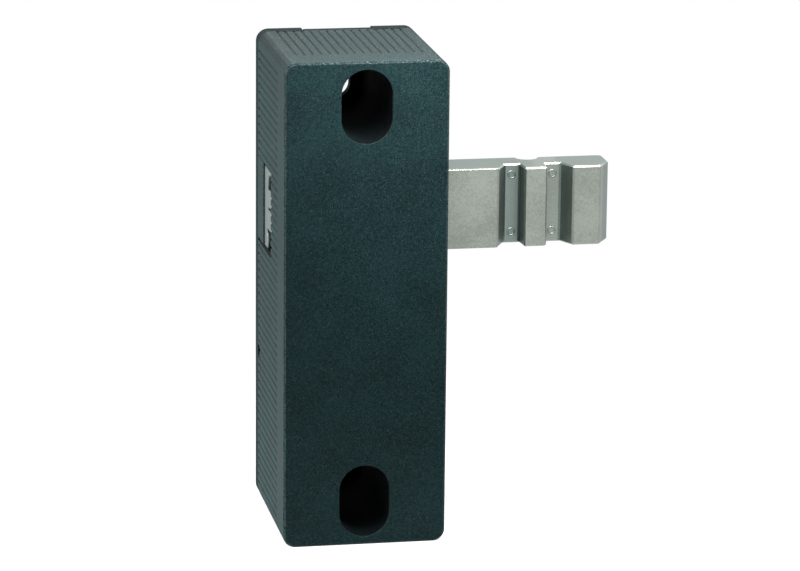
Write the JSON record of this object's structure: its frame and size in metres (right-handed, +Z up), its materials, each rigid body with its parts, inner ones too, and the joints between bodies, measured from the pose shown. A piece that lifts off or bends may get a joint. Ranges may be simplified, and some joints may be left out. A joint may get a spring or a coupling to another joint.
{
  "type": "tongue interlock actuator",
  "caption": "Guard-side half of a safety tongue interlock: a coded metal tongue that floats on a sprung pivot in a moulded screw-on block with recessed mounting slots.",
  "frame": {"origin": "middle of the two mounting slots, on the block's back mounting plane", "axes": "+X the way the tongue points, +Y out of the back into the guard, +Z up the block"},
  "size_m": [0.0854, 0.046, 0.12],
  "materials": {
    "moulded_body": "dark teal-black glass-filled moulding, fine speckled grain",
    "tongue_metal": "satin cast and plated metal, fine grain",
    "ground_steel": "ground pin",
    "bearing_polymer": "filled bearing plastic",
    "guide_polymer": "natural acetal",
    "spring_wire": "drawn stainless wire",
    "zinc_screw": "zinc plated",
    "potting": "cast black resin"
  },
  "bodies": {
    "block": {"housing": "moulded_body", "rear_cover": "moulded_body", "pivot_pin": "ground_steel", "cover_screws": "zinc_screw", "transponder": "potting", "upper_left_spring": "spring_wire", "upper_right_spring": "spring_wire", "lower_left_spring": "spring_wire", "lower_right_spring": "spring_wire"},
    "tongue": {"tongue": "tongue_metal", "front_bush": "bearing_polymer", "rear_bush": "bearing_polymer"},
    "upper_left_plunger": {"upper_left_plunger": "guide_polymer"},
    "upper_right_plunger": {"upper_right_plunger": "guide_polymer"},
    "lower_left_plunger": {"lower_left_plunger": "guide_polymer"},
    "lower_right_plunger": {"lower_right_plunger": "guide_polymer"}
  },
  "joints": [
    {"name": "tongue_float", "type": "hinge", "parent": "block", "child": "tongue", "pos_m": [0, -0.0185, 0.0182], "axis": [0, 1, 0], "range_deg": [-2, 2], "stiffness_Nm_per_rad": 6},
    {"name": "upper_left_plunger_slide", "type": "slide", "parent": "block", "child": "upper_left_plunger", "axis": [0, 0, 1], "range_m": [-0.00045, 0.00045], "deforming": ["upper_left_spring"]},
    {"name": "upper_right_plunger_slide", "type": "slide", "parent": "block", "child": "upper_right_plunger", "axis": [0, 0, 1], "range_m": [-0.00045, 0.00045], "deforming": ["upper_right_spring"]},
    {"name": "lower_left_plunger_slide", "type": "slide", "parent": "block", "child": "lower_left_plunger", "axis": [0, 0, 1], "range_m": [-0.00045, 0.00045], "deforming": ["lower_left_spring"]},
    {"name": "lower_right_plunger_slide", "type": "slide", "parent": "block", "child": "lower_right_plunger", "axis": [0, 0, 1], "range_m": [-0.00045, 0.00045], "deforming": ["lower_right_spring"]}
  ],
  "couplings": [
    {"joint": "upper_left_plunger_slide", "follows": "tongue_float", "m_per_rad": 0.0125},
    {"joint": "upper_right_plunger_slide", "follows": "tongue_float", "m_per_rad": -0.0125},
    {"joint": "lower_left_plunger_slide", "follows": "tongue_float", "m_per_rad": 0.0125},
    {"joint": "lower_right_plunger_slide", "follows": "tongue_float", "m_per_rad": -0.0125}
  ]
}
